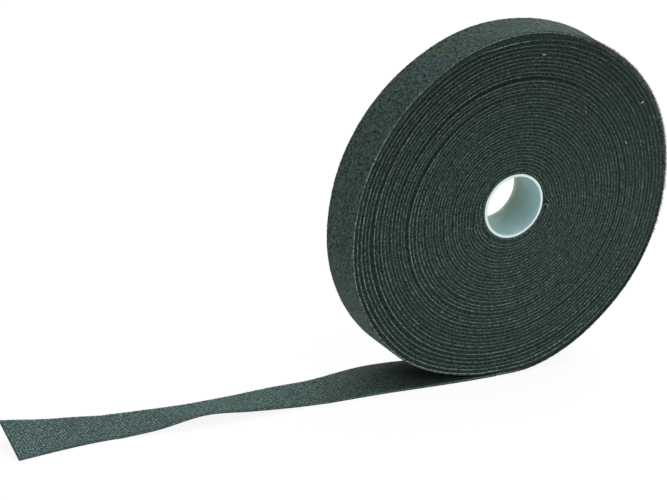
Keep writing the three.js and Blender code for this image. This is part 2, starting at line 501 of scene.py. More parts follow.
# painted sheen: the fuzz is paler than the pile's own fibres, for the light behind it
RIM_FUZZ_SHEEN = loose_fibre("rim_fuzz", colour(0.056, 0.068, 0.058), colour(0.185, 0.215, 0.185))
LINT = loose_fibre("lint", colour(0.75, 0.78, 0.76), colour(0.92, 0.94, 0.92))
print("finishes:", len(bpy.data.materials))

# %% [markdown]
# ## Helpers
# Two steps come back with every piece, so they are functions: a modifier is added and applied at once,
# and a finished piece gets its name, its finish and its smooth shading.

# %% Helpers for every piece
SMOOTHING = 40  # degrees between faces, up to which an edge is shaded smooth


def apply_modifier(piece, name, kind, **settings):
    """Adds a modifier with its settings and applies it at once."""
    modifier = piece.modifiers.new(name, kind)
    for setting, value in settings.items():
        setattr(modifier, setting, value)
    bpy.context.view_layer.objects.active = piece
    bpy.ops.object.modifier_apply(modifier=name)


def dress(piece, name, material, angle=SMOOTHING):
    """Names a finished piece, gives it its material, and smooths what is round."""
    piece.name = name
    piece.data.name = name
    piece.data.materials.clear()
    piece.data.materials.append(material)
    bpy.ops.object.select_all(action="DESELECT")
    piece.select_set(True)
    bpy.context.view_layer.objects.active = piece
    bpy.ops.object.shade_smooth_by_angle(angle=math.radians(angle))


print("edges are smooth up to", SMOOTHING, "degrees")

# %% [markdown]
# ## Core
# The core is a short tube of plastic, cut square, with its rims slightly rounded. It could be a
# disc with a hole cut in it. A cylinder with no ends is simpler: Solidify gives it a wall, inwards,
# and Bevel rounds both rims at once.

# %% Core tube
CORE_SIDES = 160
CORE_ROUNDING = 0.2 * MM

bpy.ops.object.select_all(action="DESELECT")
bpy.ops.mesh.primitive_cylinder_add(
    vertices=CORE_SIDES, radius=CORE_RADIUS, depth=TAPE_WIDTH, end_fill_type="NOTHING",
    location=(0, 0, AXIS_HEIGHT), rotation=(math.pi / 2, 0, 0))
core = bpy.context.object
bpy.ops.object.transform_apply(location=True, rotation=True, scale=True)
apply_modifier(core, "wall", "SOLIDIFY", thickness=CORE_WALL, offset=-1.0)
apply_modifier(core, "rims", "BEVEL", width=CORE_ROUNDING, segments=3, limit_method="ANGLE")
dress(core, "core_tube_white", CORE_PLASTIC)
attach(core, "roll")
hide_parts("core_tube")
print("core faces:", len(core.data.polygons))

# %% [markdown]
# ## The route of the tape
# A roll of tape is one strip, so it is modelled as one: flat on a bench, with X along the tape from
# its cut end, Y across it and Z up from the tips of the loops. A route says where each point of that
# flat strip goes: out along the floor with a slow twist, round and round to the core, and back on
# itself in the fold where the tape was started. First come the heights of the layers in the tape and
# how it is wound. The outermost turns are looser than the inner ones.

# %% Layers of the tape and turns of the winding
PILE_LOW, PILE_HIGH = 0.05 * MM, 0.65 * MM
FILM_LOW, FILM_HIGH = 0.65 * MM, 0.90 * MM
HOOK_LOW, HOOK_HIGH = 0.90 * MM, 1.30 * MM
TAPE_THICKNESS = 1.5 * MM
MIDDLE = TAPE_THICKNESS / 2
FOLD_ANGLE = 80.0  # degrees from straight down towards +X
WHOLE_TURNS = 39
TURNS = WHOLE_TURNS + FOLD_ANGLE / 360
LOOSE_PITCH = 0.55 * MM  # what the outermost turn takes more than the inner ones
LOOSE_TURNS = 8.0  # how many turns it takes to fade
print(f"{TURNS:.2f} turns of tape {TAPE_THICKNESS / MM:.1f} mm thick")

# %% [markdown]
# The roll isn't a perfect spiral. All its turns stand further out where they go over the fold and step
# down behind it. The outer turns are loose and sag to the lower left, where the tape leaves the roll,
# the next ones bulge at the top, and here and there a gap is wider. Each of these is a short list of
# angles and heights, chosen to match the photograph. Winding the tape in a simulation would be
# uneven too, but not in the way of this roll.

# %% Where the turns stray
FOLD_HEIGHT = 2.2 * MM
FOLD_FLANK = 20.0  # degrees in which the turns step down behind the fold
FOLD_SPAN = (-75.0, FOLD_ANGLE + 1 + FOLD_FLANK / 2)
FOLD_TURNS = 8.0  # how many turns it takes to soften
# Where the outer turns stand out over the fold: an angle, and the share of the fold's height.
SEAT = [(0, 1.0), (50, 0.72), (148, -0.28), (225, 0.1), (275, 0.6), (330, 1.0), (360, 1.0)]

# How far the outermost turn strays from a spiral: an angle, and how far out.
SAG = [
    (0, 0.0), (14, 0.9 * MM), (48, -0.4 * MM), (95, -1.4 * MM), (127, -0.55 * MM), (172, -0.95 * MM),
    (205, 0.3 * MM), (262, 1.45 * MM), (290, 2.95 * MM), (318, 3.15 * MM), (352, 0.5 * MM), (360, 0.0)]
SAG_TURNS = 4.5  # how many turns it takes to fade

# How far the turns under it bulge at the top, with a sharp step where one is caught.
BULGE = [
    (0, 0.0), (120, 0.0), (165, 0.3 * MM), (194, 0.1 * MM), (197.5, 1.1 * MM), (240, 0.5 * MM),
    (285, 0.0), (360, 0.0)]
BULGE_TURNS = 1.5  # how many turns it takes to fade

# Wide gaps: under which turn, at what angle, how far to each side in degrees, how wide and how dark.
SLACK = [
    (5, 40, 100, 0.15 * MM, 0.75),
    (5, 285, 115, 0.9 * MM, 0.35),
    (11, 200, 100, 1.2 * MM, 0.5),
    (12, 50, 110, 0.1 * MM, 0.55),
    (14, 65, 110, 0.15 * MM, 0.75),
    (15, 245, 100, 1.0 * MM, 0.4),
    (17, 300, 90, 0.6 * MM, 0.0),
    (18, 30, 90, 0.1 * MM, 0.45),
    (20, 310, 90, 0.4 * MM, 0.0),
    (21, 130, 90, 0.2 * MM, 0.2),
    (24, 160, 80, 0.2 * MM, 0.2),
    (29, 230, 80, 0.2 * MM, 0.2),
]
WAVES = [(0.61, 2), (1.37, 0), (2.71, 1), (5.3, 4), (9.2, 3)]  # how many to a turn, and where they start
WAVE_HEIGHT = 0.05 * MM
WAVE_START = 0.5  # of a turn, in which the waves set in
print("wide gaps:", len(SLACK), "waves:", len(WAVES))

# %% [markdown]
# A few small functions turn such lists into smooth curves. Straight lines between the angles would
# show as kinks in the turns, and a spline can overshoot, so each curve is a cosine from one height to
# the next, level at both.

# %% Curves over an angle
def bell(angle, centre, half):
    """A smooth rise and fall round an angle, in degrees."""
    off = (angle - centre + 180) % 360 - 180
    return np.where(np.abs(off) < half, 0.5 + 0.5 * np.cos(np.pi * off / half), 0.0)


def smooth_step(share):
    """0 below 0 and 1 above 1, with a smooth rise between."""
    share = np.clip(share, 0, 1)
    return share * share * (3 - 2 * share)


def smooth_box(angle, start, end, soft):
    """1 between two angles, with soft flanks, in degrees."""
    middle = (start + end) / 2
    off = np.abs((angle - middle + 180) % 360 - 180) - (end - start) / 2
    return smooth_step(0.5 - off / soft)


def eased(angle, knots):
    """A curve through a few knots that is level at each of them."""
    at, value = np.array(knots).T
    left = np.clip(np.searchsorted(at, angle, side="right") - 1, 0, len(at) - 2)
    share = 0.5 - 0.5 * np.cos(np.pi * (angle - at[left]) / (at[left + 1] - at[left]))
    return value[left] + (value[left + 1] - value[left]) * share


def slack_limit(lap, centre):
    """The turn down to which a wide gap pushes the tape out, half a lap past the gap's middle."""
    return lap + centre / 360 - 0.5


print(f"the outermost turn hangs {eased(np.array([300.0]), SAG)[0] / MM:.1f} mm out at the lower left")

# %% [markdown]
# The radius of each place of the winding follows from all of these. It starts as a plain spiral with
# looser outer turns, and then the fold, the gaps, the sag, the bulge and some small waves are added.

# %% Radius of the winding
def winding_radius(turn):
    """Radius of the tape's middle, with turns counted inwards from the free end."""
    outside = AXIS_HEIGHT - MIDDLE
    inside = CORE_RADIUS + MIDDLE + FOLD_HEIGHT
    slack = LOOSE_PITCH * LOOSE_TURNS
    pitch = (outside - inside - slack) / TURNS
    radius = outside - pitch * turn - slack * (1 - np.exp(-turn / LOOSE_TURNS))
    angle = 360 * (turn % 1.0)
    near_core = np.exp((turn - TURNS) / FOLD_TURNS)
    over_fold = smooth_box(angle, *FOLD_SPAN, FOLD_FLANK)
    seat = near_core * over_fold + (1 - near_core) * eased(angle, SEAT)
    inner_shape = -FOLD_HEIGHT * (1 - seat)
    for lap, centre, half, gap, _ in SLACK:
        widened = np.where(turn < slack_limit(lap, centre), gap * bell(angle, centre, half), 0.0)
        inner_shape = inner_shape + widened
    outermost = np.exp(-turn / SAG_TURNS)
    radius = radius + eased(angle, SAG) * outermost + inner_shape * (1 - outermost)
    radius = radius + np.where(turn < 1, 0.0, eased(angle, BULGE) * np.exp((1 - turn) / BULGE_TURNS))
    since_fold = (turn - TURNS) % 1.0
    stepped = smooth_step(since_fold * 360 / FOLD_FLANK)
    radius = radius - near_core * pitch * (1 - since_fold) * stepped
    waves = sum(np.sin(2 * np.pi * rate * turn + shift) for rate, shift in WAVES)
    return radius + WAVE_HEIGHT * waves * np.clip(turn / WAVE_START, 0, 1) * np.clip(TURNS - turn, 0, 1)


turn_grid = np.linspace(0, TURNS, int(TURNS * 360))
radius_grid = winding_radius(turn_grid)
outer = turn_grid < TURNS - 1
between = radius_grid[outer] - winding_radius(turn_grid[outer] + 1)
print(f"from turn to turn {between.min() / MM:.2f} to {between.max() / MM:.2f} mm")

# %% [markdown]
# The free end lies on the floor and twists slowly one way and the other, and it drifts a little
# to the side. Both are given at the creases and the cut end, where the solids have theirs, and one smooth
# curve goes through the values. The tape is lifted as it twists, so that its lower edge stays down.

# %% Route of the free end
TAIL_TWIST = [0, 7, 7.5, 1, -2.5, -9, -14.5, -4.5, 2, 11, 27]  # degrees at the creases and the cut end
TAIL_DRIFT = [0, 0.6, 1.7, 2.2, 2.2, 1.1, 1.0, 2.4, 4.1, 2.6, -1]  # sideways there, in mm
TAIL_POINTS = 600
INSIDE = 1e-9  # keeps the cut end in the last piece of a curve


def along_tail(values, x):
    """A smooth curve along the free end, through the values at the creases and the cut end."""
    knots = np.array([0.0] + values + [2 * values[-1] - values[-2]])
    place = np.clip((CREASES[0] - x) / STRETCH, 0, len(values) - 1 - INSIDE)
    number = place.astype(int)
    share = place - number
    before, start, end, after = (knots[number + step] for step in range(4))
    slope = end - before
    bend = 2 * before - 5 * start + 4 * end - after
    sway = 3 * (start - end) + after - before
    return start + 0.5 * share * (slope + share * (bend + share * sway))


tail_x = np.linspace(-TAIL_REACH, 0, TAIL_POINTS, endpoint=False)
tail_points = np.stack([tail_x, np.full_like(tail_x, MIDDLE)], axis=1)
tail_twist = np.radians(along_tail(TAIL_TWIST, tail_x))
tail_lift = TAPE_WIDTH / 2 * np.abs(np.sin(tail_twist))
tail_drift = along_tail(TAIL_DRIFT, tail_x) * MM
print(f"free end lifted by up to {tail_lift.max() / MM:.1f} mm")

# %% [markdown]
# In the side view, the winding is the radius at each angle. At the core the tape turns back on itself
# in a tight half circle, and a flap runs on under the first turn.

# %% Winding and fold in the side view
FLAP = math.radians(150)
FLAP_POINTS = 60
BEND_POINTS = 24


def polar(radius, angle):
    """Points of the side view, from an angle that starts straight down and goes towards +X."""
    return np.stack([radius * np.sin(angle), AXIS_HEIGHT - radius * np.cos(angle)], axis=1)


winding_points = polar(radius_grid, 2 * np.pi * turn_grid)
fold_start = 2 * np.pi * TURNS
fold_outer = radius_grid[-1]
bend_radius = FOLD_HEIGHT / 2
swing = np.linspace(0, np.pi, BEND_POINTS)[1:]
fold_middle = fold_outer - bend_radius
bend_points = polar(
    fold_middle + bend_radius * np.cos(swing), fold_start + bend_radius * np.sin(swing) / fold_middle)
flap_angle = np.linspace(fold_start, fold_start - FLAP, FLAP_POINTS)[1:]
flap_points = polar(np.full_like(flap_angle, fold_outer - FOLD_HEIGHT), flap_angle)
print("points of winding, bend and flap:", len(winding_points), len(bend_points), len(flap_points))

# %% [markdown]
# Tail, winding, half circle and flap are joined to one line of points. The length along that line
# tells each point of the flat tape where it goes. The front edge of the outermost turn leans out at the
# top of the roll, so the tape is twisted a little there too.

# %% The whole route, from the cut end to the fold
LEAN = [(0, 0.0), (140, 0.0), (180, 1.7 * MM), (270, 0.0), (360, 0.0)]  # an angle, and how far out


def leaning(turn):
    """How far out the front edge leans; only the outermost turn does."""
    return np.where(turn < 1, eased(360 * (turn % 1.0), LEAN), 0.0)


route = np.concatenate([tail_points, winding_points, bend_points, flap_points])
route_at = np.concatenate([[0], np.cumsum(np.linalg.norm(np.diff(route, axis=0), axis=1))])
route_way = np.gradient(route, route_at, axis=0)
route_way /= np.linalg.norm(route_way, axis=1, keepdims=True)
lean = leaning(turn_grid)
at_fold = np.zeros(len(bend_points) + len(flap_points))
route_twist = np.concatenate([tail_twist, lean / TAPE_WIDTH, at_fold])
route_lift = np.concatenate([tail_lift, -lean / 2, at_fold])
route_drift = np.concatenate([tail_drift, 0 * lean, at_fold])
winding_at = route_at[len(tail_points): len(tail_points) + len(winding_points)]
WOUND_AT, FOLD_AT, TAPE_LENGTH = winding_at[0], winding_at[-1], route_at[-1]
RIM_END_AT = np.interp(1.0, turn_grid, winding_at)
print(f"tape {TAPE_LENGTH:.2f} m long, of which {FOLD_AT - WOUND_AT:.2f} m is wound")

# %% [markdown]
# Laying is the step that every piece of tape takes last. A point's X finds its place on the route, and
# its Y and Z go across the tape and through it, turned by the twist there. A Curve modifier could do
# this too, but each of the many pieces would need its own, along a curve of thousands of points.

# %% Laying the flat tape along its route
def lay(flat):
    """Takes points of the flat tape to their places on the route."""
    along, across, height = flat.T
    x, z = (np.interp(along, route_at, route[:, axis]) for axis in (0, 1))
    way_x, way_z = (np.interp(along, route_at, route_way[:, axis]) for axis in (0, 1))
    size = np.hypot(way_x, way_z)
    lines = (route_twist, route_drift, route_lift)
    twist, drift, lift = (np.interp(along, route_at, line) for line in lines)
    over = np.stack([-way_z / size, np.zeros_like(x), way_x / size], axis=1)
    side = np.tile([0.0, 1.0, 0.0], (len(x), 1))
    sine, cosine = np.sin(twist)[:, None], np.cos(twist)[:, None]
    middle = np.stack([x, drift, z], axis=1) + lift[:, None] * over
    reach = across[:, None] * (cosine * side + sine * over)
    rise = (height - MIDDLE)[:, None] * (cosine * over - sine * side)
    return middle + reach + rise


def points_of(piece):
    values = np.empty(len(piece.data.vertices) * 3)
    piece.data.vertices.foreach_get("co", values)
    return values.reshape(-1, 3)


def set_points(piece, points):
    piece.data.vertices.foreach_set("co", points.ravel())
    piece.data.update()


def lay_piece(piece):
    """Moves a flat piece to its place on the route."""
    set_points(piece, lay(points_of(piece)))


cut_end = lay(np.array([[0.0, 0.0, MIDDLE]]))[0]
print("middle of the cut end, in mm:", [round(float(value) / MM, 1) for value in cut_end])

# %% [markdown]
# ## Strips of tape
# Each layer of the tape is a slab: a grid, made thick with Solidify and eased at its long edges with
# Bevel. Then its points are laid along the route. A bend modifier could roll up a strip too, but not
# to an uneven spiral with a fold at its end. A slit edge is never quite straight, so its points are
# moved in and out a little. All random draws of this file come from one seed.

# %% A slab of the flat tape
SEED = 20
FELT_DEPTH = 0.34 * MM
EDGE_BAND = 0.15 * MM  # what counts as the edge of a slab
FRAY_OUT = 0.3  # how far out an edge strays, as a share of how far in
draw = np.random.default_rng(SEED)


def slab(start, end, width, low, high, steps, columns=1, ease=0.0, felt=None):
    """A flat layer of tape between two places along it and two heights in it."""
    bpy.ops.object.select_all(action="DESELECT")
    bpy.ops.mesh.primitive_grid_add(x_subdivisions=steps, y_subdivisions=columns, size=1)
    piece = bpy.context.object
    piece.location = ((start + end) / 2, 0, low)
    piece.scale = (end - start, width, 1)
    bpy.ops.object.transform_apply(location=True, rotation=True, scale=True)
    if felt:
        apply_modifier(
            piece, "felt", "DISPLACE", texture=felt, strength=FELT_DEPTH, mid_level=0.5,
            direction="Z", texture_coords="LOCAL")
    apply_modifier(piece, "thickness", "SOLIDIFY", thickness=high - low, offset=1.0)
    if ease:
        apply_modifier(piece, "edges", "BEVEL", width=ease, segments=1, limit_method="ANGLE")
    return piece


def fray(piece, depth):
    """Moves the points of both long edges in and out a little, as a slit edge is."""
    points = points_of(piece)
    edge = np.abs(points[:, 1]) > np.abs(points[:, 1]).max() - EDGE_BAND
    points[edge, 1] *= 1 + draw.uniform(-depth, FRAY_OUT * depth, edge.sum()) / (TAPE_WIDTH / 2)
    set_points(piece, points)


print("seed of all random draws:", SEED)

# %% [markdown]
# ## The winding
# Three layers go round. The backing film reaches the edge and shows as the pale line of every turn.
# The loop pile, on its outside, stops short of the edge, and the hooks on its inside do so by more and
# reach as deep as the loops of the next turn, so a groove is left between two lines, deep and dark
# where the turns are loose, and no light comes through the roll.

# %% Backing film of the winding
WOUND_STEPS = 8000
EDGE_EASE = 0.08 * MM
WOUND_FRAY = 0.14 * MM


def turns_of(points):
    return np.interp(points[:, 0], winding_at, turn_grid)


def store(piece, name, values):
    """Keeps a number for each point of a piece, for its finish to read."""
    piece.data.attributes.new(name, "FLOAT", "POINT").data.foreach_set("value", values.ravel())


wound_film = slab(WOUND_AT, FOLD_AT, TAPE_WIDTH, FILM_LOW, FILM_HIGH, WOUND_STEPS, ease=EDGE_EASE)
fray(wound_film, WOUND_FRAY)
turns = turns_of(points_of(wound_film))
print("wound backing faces:", len(wound_film.data.polygons))

# %% [markdown]
# The film's edge is paler beside a wide gap and on the outermost turn. Where one turn is caught at the top
# its edge gets a painted highlight, and towards the lower left the edges are painted lighter, as the light
# falls there. Elsewhere the wear comes and goes at random. It is worked out on the flat film, where each
# point still knows its turn.

# %% Wear and painted light of the edges
TIGHT_PITCH = 1.45 * MM
PALE_GAP = 1.2 * MM
RUBBED = (-0.5, 0.4)
RUBBED_TURNS = 0.2  # how far apart the rubbed places are
# painted light: where and how much lighter the edges are towards the lower left
LIT_SIDE = math.radians(290)  # the lower left
LOWER_LEFT_LIGHT = 0.25
# painted highlight on the edge where one turn is caught
CAUGHT_EDGE = (180, 196)  # degrees, on the turn under the outermost one
CAUGHT_SOFT = 8.0
CAUGHT_HIGHLIGHT = 2
OUTER_PALENESS = 0.5
# painted shade on the pushed-back edge of the outermost turn
SHADED_EDGE = (5, 150)  # degrees, on the outermost turn
SHADED_SOFT = 20.0

outer_radius = winding_radius(np.maximum(turns - 1, 0))
gaps = np.where(turns > 1, outer_radius - winding_radius(turns), 2 * TIGHT_PITCH)
second = (turns > 1) & (turns < 2)
# painted highlight of the caught edge
caught_highlight = np.where(second, smooth_box(360 * turns, *CAUGHT_EDGE, CAUGHT_SOFT), 0.0)
rubbed_at = np.arange(0, TURNS + 1, RUBBED_TURNS)
rubbed = np.interp(turns, rubbed_at, draw.uniform(*RUBBED, len(rubbed_at)))
# painted light: the edges are lighter towards the lower left
lower_left_light = LOWER_LEFT_LIGHT * np.cos(2 * np.pi * turns - LIT_SIDE)
wear = np.clip((gaps - TIGHT_PITCH) / PALE_GAP + rubbed + lower_left_light, 0, 1)
store(wound_film, "wear", wear + CAUGHT_HIGHLIGHT * caught_highlight + OUTER_PALENESS * (turns < 1))
shade = np.where(turns < 1, smooth_box(360 * turns, *SHADED_EDGE, SHADED_SOFT), 0.0)
store(wound_film, "shade", shade)
lay_piece(wound_film)
dress(wound_film, "wound_backing", BACKING_FILM)
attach(wound_film, "roll")
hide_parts("packed_turns")
print(f"mean wear of the wound edges: {wear.mean():.2f}")

# %% [markdown]
# Inside the roll nobody sees single loops, only a dark groove between two pale lines. So the loop pile
# there is a plain slab, a little narrower than the film.

# %% Loop pile inside the roll
PILE_INSET = 0.2 * MM
INNER_STEPS = 5000

wound_pile = slab(RIM_END_AT, FOLD_AT, TAPE_WIDTH - 2 * PILE_INSET, PILE_LOW, PILE_HIGH, INNER_STEPS)
lay_piece(wound_pile)
dress(wound_pile, "wound_pile", STUCK_PILE)
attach(wound_pile, "roll")
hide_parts("wound_loop_layer")
print("wound pile faces:", len(wound_pile.data.polygons))

# %% [markdown]
# The wide gaps are also the darkest grooves of the side. How dark each is stands in the list of gaps,
# and it fades to both sides as the gap does.

# %% How dark the gaps are
def gap_shade(turn):
    """How dark the gap under each place of the winding is."""
    shade = 0.0 * turn
    for lap, centre, half, _, dark in SLACK:
        limit = slack_limit(lap, centre)
        under = (turn < limit) & (turn > limit - 1)
        shade = shade + np.where(under, dark * bell(360 * turn, centre, half), 0.0)
    return shade


print(f"darkest gap: {gap_shade(turn_grid).max():.2f}")

# %% [markdown]
# The stuck hooks fill the room down to the next turn, or to the core. That room changes all along the
# winding, so the deep points of their slab are moved to where the next turn lies. The wider the gap, the
# further back from the edge they are, and behind the fold a notch stays open beside the core.

# %% Stuck hooks inside the roll
HOOK_INSET = 0.3 * MM
GAP_DEPTH = 0.35 * MM  # how much further back the hooks lie where a gap is wide
GAP_WIDTH = 0.35 * MM  # what a wide gap is
CORE_INSET = 0.25 * MM
NOTCH = (FOLD_ANGLE + 1, FOLD_ANGLE + 13)  # degrees, beside the core behind the fold
NOTCH_SOFT = 6.0
NOTCH_DEPTH = 1.5 * MM

wound_hooks = slab(WOUND_AT, FOLD_AT, TAPE_WIDTH, HOOK_LOW, HOOK_HIGH, INNER_STEPS)
points = points_of(wound_hooks)
turns = turns_of(points)
on_core = turns > TURNS - 1
below = np.where(on_core, CORE_RADIUS - MIDDLE, winding_radius(np.minimum(turns + 1, TURNS)))
pitches = winding_radius(turns) - below
deep = points[:, 2] > (HOOK_LOW + HOOK_HIGH) / 2
points[deep, 2] = np.maximum(pitches[deep] + PILE_LOW, HOOK_HIGH)
points[deep, 2] += np.where(points[deep, 1] < 0, leaning(turns[deep]), 0.0)
wide = np.clip(pitches - TIGHT_PITCH, 0, None)
gap_insets = HOOK_INSET + GAP_DEPTH * (1 - np.exp(-wide / GAP_WIDTH))
notch_insets = CORE_INSET + NOTCH_DEPTH * smooth_box(360 * turns, *NOTCH, NOTCH_SOFT)
insets = np.where(on_core, notch_insets, gap_insets)
points[:, 1] = np.sign(points[:, 1]) * (TAPE_WIDTH / 2 - insets)
set_points(wound_hooks, points)
store(wound_hooks, "shade", gap_shade(turns))
lay_piece(wound_hooks)
dress(wound_hooks, "wound_hooks", STUCK_PILE)
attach(wound_hooks, "roll")
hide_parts("wound_hook_layer", "foot_hook")
print(f"stuck hooks set back by up to {insets.max() / MM:.2f} mm")

# %% [markdown]
# The outermost turn shows its loop pile all round the rim, so there it is a finer grid. A Displace
# modifier with a cloud texture raises it into tufts and pits, as brushed loops felt together.

# %% Loop pile of the rim
RIM_STEPS = 1000
RIM_COLUMNS = 40
RIM_INSET = 0.2 * MM
RIM_SMOOTHING = 80  # degrees
FELT_SIZE = 0.9 * MM

felt_clouds = bpy.data.textures.new("felt_clouds", "CLOUDS")
felt_clouds.noise_scale = FELT_SIZE
felt_clouds.noise_depth = 2
rim_pile = slab(
    WOUND_AT, RIM_END_AT, TAPE_WIDTH - 2 * RIM_INSET, PILE_LOW + FELT_DEPTH / 4, PILE_HIGH, RIM_STEPS,
    columns=RIM_COLUMNS, felt=felt_clouds)
lay_piece(rim_pile)
dress(rim_pile, "rim_pile", LOOP_PILE, angle=RIM_SMOOTHING)
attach(rim_pile, "roll")
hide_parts("wound_loop_layer", "foot_loop")
print("rim pile faces:", len(rim_pile.data.polygons))

# %% [markdown]
# ## The fold
# Whoever wound the roll folded the first end of the tape back on itself, and that hairpin still
# shows beside the core. It is the last bit of the same route, with the same layers.

# %% Folded start
FOLD_STEPS = 90
fold_parts = [
    ("folded_backing", TAPE_WIDTH, FILM_LOW, FILM_HIGH, EDGE_EASE, BACKING_FILM, "tape_edge"),
    ("folded_pile", TAPE_WIDTH - 2 * PILE_INSET, PILE_LOW, PILE_HIGH, 0.0, LOOP_PILE, "loop_pile"),
]
for name, width, low, high, ease, material, slot in fold_parts:
    piece = slab(FOLD_AT, TAPE_LENGTH, width, low, high, FOLD_STEPS, ease=ease)
    lay_piece(piece)
    dress(piece, name, material)
    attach(piece, "roll")
    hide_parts("folded_start")
print("fold laid over", round((TAPE_LENGTH - FOLD_AT) / MM, 1), "mm")

# %% [markdown]
# ## Loose fibres
# Woven tape is slit to width with a knife, so its edges are full of cut fibre ends, and the loop side
# is a mat of fine curled fibres. A particle system could grow them. Here one fibre is modelled by
# extruding a tiny triangle from point to point, a little thinner each time. It is then copied many
# thousands of times on the flat tape, and the lot is laid along the route like every other layer.

# %% One fibre
FIBRE_SIDES = 3
FIBRE_TAPER = (0.8, 0.8, 0.8)
DISC_DEPTH = 1e-7  # of the triangle that a fibre starts from
MERGE_REACH = 1e-6  # makes the two faces of that triangle one


def select_face(piece, score):
    """Goes into edit mode with one face selected: the one with the highest score."""
    best = max(piece.data.polygons, key=score).index
    bpy.ops.object.mode_set(mode="EDIT")
    bpy.ops.mesh.select_mode(type="FACE")
    bpy.ops.mesh.select_all(action="DESELECT")
    bpy.ops.object.mode_set(mode="OBJECT")
    piece.data.polygons[best].select = True
    bpy.ops.object.mode_set(mode="EDIT")


def model_fibre(points, radius):
    """A thin three-sided fibre through a few points, thinner to its tip."""
    bpy.ops.object.select_all(action="DESELECT")
    bpy.ops.mesh.primitive_cylinder_add(
        vertices=FIBRE_SIDES, radius=radius, depth=DISC_DEPTH, end_fill_type="NGON", location=points[0])
    piece = bpy.context.object
    bpy.ops.object.transform_apply(location=True, rotation=True, scale=True)
    select_face(piece, lambda face: face.normal.z)
    for start, end in zip(points, points[1:]):
        step = [there - here for here, there in zip(start, end)]
        bpy.ops.mesh.extrude_region_move(TRANSFORM_OT_translate={"value": step})
        bpy.ops.transform.resize(value=FIBRE_TAPER)
    bpy.ops.mesh.select_all(action="SELECT")
    bpy.ops.mesh.remove_doubles(threshold=MERGE_REACH)
    bpy.ops.object.mode_set(mode="OBJECT")
    return piece


# The straight fibre is one metre long, and its copies are scaled to their length.
spike = model_fibre([(0, 0, 0), (0.02 * MM, 0, 0.5), (0.08 * MM, 0, 1.0)], radius=0.045 * MM)
print("faces of a fibre:", len(spike.data.polygons))

# %% [markdown]
# Each copy has three axes of its own, which turn and size it. Fibre ends point along a direction, and
# curled fibres and lint lie flat and are turned in one plane. Copying the objects one by one would take
# minutes, so the points of all copies are worked out at once and go into one mesh.

# %% Many copies of a model
def copies(name, model, frames, places):
    """One mesh of many copies of a model; each copy has its own frame of axes and its own place."""
    shape = points_of(model)
    faces = [list(face.vertices) for face in model.data.polygons]
    points = np.einsum("nij,vj->nvi", frames, shape) + places[:, None, :]
    offsets = range(0, len(places) * len(shape), len(shape))
    all_faces = [[corner + offset for corner in face] for offset in offsets for face in faces]
    mesh = bpy.data.meshes.new(name)
    mesh.from_pydata(points.reshape(-1, 3), [], all_faces)
    piece = bpy.data.objects.new(name, mesh)
    bpy.context.scene.collection.objects.link(piece)
    return piece


def unit(vectors):
    return vectors / np.linalg.norm(vectors, axis=1, keepdims=True)


def frames_along(directions, lengths):
    """Axes whose third one points along a direction, scaled to a length; the first lies at random."""
    third = unit(directions)
    first = unit(np.cross(third, draw.normal(size=third.shape)))
    second = np.cross(third, first)
    return np.stack([first, second, third * lengths[:, None]], axis=2)


def frames_turned(first, second, angles):
    """Axes that are turned in the plane of two of them."""
    axes = np.tile(np.eye(3), (len(angles), 1, 1))
    axes[:, first, first] = axes[:, second, second] = np.cos(angles)
    axes[:, second, first] = np.sin(angles)
    axes[:, first, second] = -axes[:, second, first]
    return axes


print("size of a frame of axes:", frames_turned(0, 1, np.zeros(1)).shape[1:])

# %% [markdown]
# The cut ends stand out of both edges of the tape, at all angles and mostly along it. They are what
# makes the pale lines on the side look rough.

# %% Fibre ends along a cut edge
WOUND_FIBRES = 12000
FIBRE_ROOT = 0.1 * MM  # how deep in the edge a fibre starts, and how far off the film it may be
FIBRE_LENGTHS = (0.25 * MM, 0.65 * MM)


def edge_fibres(name, side, start, end, count):
    """Fibre ends that stand out of one edge of the flat tape."""
    places = np.stack([
        draw.uniform(start, end, count),
        np.full(count, side * (TAPE_WIDTH / 2 - FIBRE_ROOT)),
        draw.uniform(FILM_LOW - FIBRE_ROOT, FILM_HIGH + FIBRE_ROOT, count),
    ], axis=1)
    ways = np.stack([  # along, across and up
        draw.normal(0, 1.0, count), side * draw.uniform(0.2, 0.8, count), draw.normal(0, 0.45, count),
    ], axis=1)
    return copies(name, spike, frames_along(ways, draw.uniform(*FIBRE_LENGTHS, count)), places)


for side, name in ((-1, "front_fibres"), (1, "back_fibres")):
    fibres = edge_fibres(name, side, WOUND_AT, FOLD_AT, WOUND_FIBRES)
    lay_piece(fibres)
    dress(fibres, name, EDGE_FIBRE)
    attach(fibres, "roll")
print("fibre ends on each side of the roll:", WOUND_FIBRES)

# %% [markdown]
# The pile of the rim is brushed, so curled fibres lie on it in every direction. Long and short ones are
# two pieces. At the lower left the free end presses them flat when it is wound on, so there they sit
# deeper and don't catch in its hooks.

